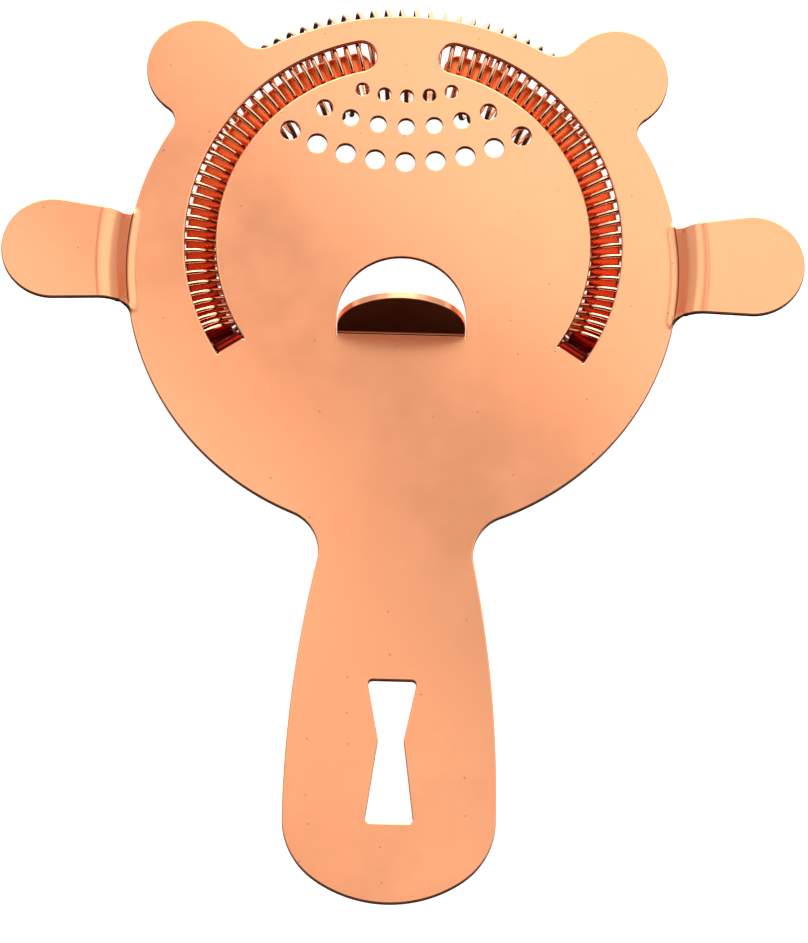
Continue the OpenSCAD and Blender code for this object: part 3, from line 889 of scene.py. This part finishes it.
def softbox(name, location, target, size, brightness):
    """A soft rectangular light that looks as bright as a surface of that radiance."""
    light = bpy.data.lights.new(name, "AREA")
    light.shape, light.size, light.size_y = "RECTANGLE", size[0], size[1]
    light.energy = brightness * math.pi * size[0] * size[1]
    obj = bpy.data.objects.new(name, light)
    obj.location = location
    obj.rotation_mode = "QUATERNION"
    obj.rotation_quaternion = (Vector(location) - Vector(target)).to_track_quat("Z", "Y")
    bpy.context.scene.collection.objects.link(obj)
    return obj


def overhead_panel(name, along, across, brightness):
    """A level panel turned about the vertical; its extents are along and across its edges."""
    turn = math.radians(PANEL_TURN)
    u, v = np.array([math.cos(turn), math.sin(turn)]), np.array([-math.sin(turn), math.cos(turn)])
    middle = u * sum(along) / 2 + v * sum(across) / 2
    size = (along[1] - along[0], across[1] - across[0])
    panel = softbox(name, (*middle, PANEL_Z), (*middle, 0.0), size, brightness)
    panel.rotation_quaternion = Matrix.Rotation(turn, 3, "Z").to_quaternion()


def make_lights():
    softbox("front_softbox", location=(0.0, 1.3, 0.95), target=(0, 0.05, 0),
            size=(1.2, 0.7), brightness=6.0)
    overhead_panel("far_panel", along=(-0.40, 0.40), across=(0.098, 0.40), brightness=0.82)
    overhead_panel("near_panel", along=(-0.40, -0.055), across=(-0.05, 0.054), brightness=0.80)
    overhead_panel("handle_panel", along=(-0.055, 0.035), across=(-0.02, 0.042), brightness=0.52)


def make_camera():
    """The photograph's view: from above, tipped towards the handle, from 1.5 m."""
    tip, sway, roll, distance = 0.30408808, 0.00370002, -0.02493121, 1500.0  # radians and mm
    px_per_mm, look_at = 5.91594539, np.array([1.09699, -40.77395, 0.0])
    image_h, sensor = 943, 36.0
    forward = np.array([math.sin(sway), math.sin(tip) * math.cos(sway),
                        -math.cos(tip) * math.cos(sway)])
    up = np.array([0.0, 1.0, 0.0]) - forward[1] * forward
    up /= np.linalg.norm(up)
    right = np.cross(forward, up)
    up, right = (math.cos(roll) * up + math.sin(roll) * right,
                 math.cos(roll) * right - math.sin(roll) * up)
    camera = bpy.data.cameras.new("camera")
    camera.lens = px_per_mm * distance * sensor / image_h
    camera.sensor_width = sensor
    camera.clip_start, camera.clip_end = 0.05, 20.0
    obj = bpy.data.objects.new("camera", camera)
    axes = Matrix([list(right), list(up), list(-forward)]).transposed()
    obj.matrix_world = (Matrix.Translation((look_at - forward * distance + ORIGIN) * MM)
                        @ axes.to_4x4())
    bpy.context.scene.collection.objects.link(obj)
    bpy.context.scene.camera = obj


# ---------------------------------------------------------------- the scene


plating = copper("copper_sheet", light=(0.985, 0.415, 0.212, 1), deep=(0.98, 0.388, 0.192, 1),
                 roughness=0.20, speck=0.55, speck_scale=150, scratch=0.0000004, wave=0.0001,
                 paint_shade=painted_slot_and_wing_shade)
# the wire's copper is paler than the sheet's, a painted highlight that makes its bright glints read cream
wire = copper("copper_wire", light=(0.96, 0.53, 0.33, 1), deep=(0.95, 0.47, 0.27, 1),
              roughness=0.13, speck=0.2, speck_scale=600, scratch=0.0000003, wave=0.0)
make_sheet(plating)
make_spring(wire)
make_floor()
make_world()
make_lights()
make_camera()
bpy.context.scene.view_settings.view_transform = "Standard"
